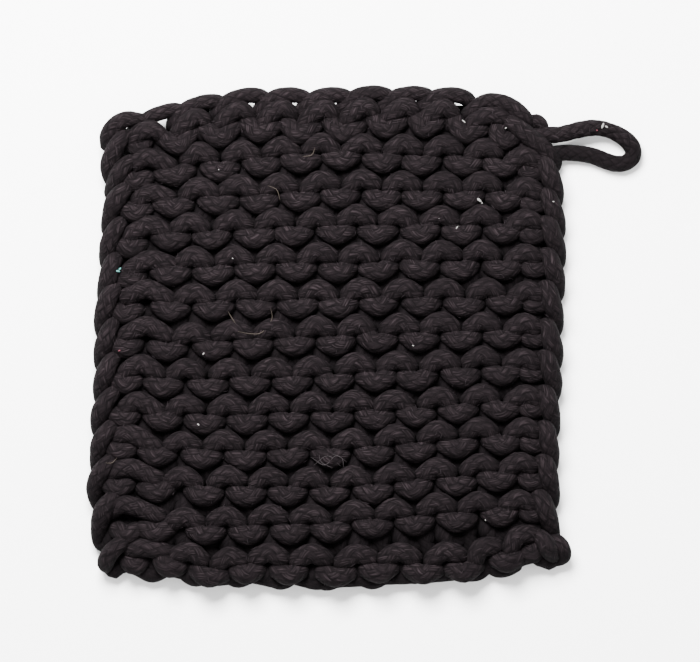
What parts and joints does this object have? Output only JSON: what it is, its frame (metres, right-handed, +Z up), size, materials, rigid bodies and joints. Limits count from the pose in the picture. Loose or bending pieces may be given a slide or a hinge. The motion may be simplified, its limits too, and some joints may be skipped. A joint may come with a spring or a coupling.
{
  "type": "knitted trivet",
  "caption": "Square flat trivet knitted in ridges from one thick braided cotton cord, with a small cord loop at one corner to hang it by.",
  "frame": {"origin": "on the underside, on the flattened middle stitch nearest the centre of the mat", "axes": "+Z up through the mat's thickness, +Y towards the bound-off edge, +X towards the side with the loop"},
  "size_m": [0.2363, 0.2145, 0.0166],
  "materials": {
    "cotton_cord": "dull black braided cotton"
  },
  "bodies": {
    "root": {"mat": "cotton_cord", "hanging_loop": "cotton_cord"}
  },
  "joints": []
}
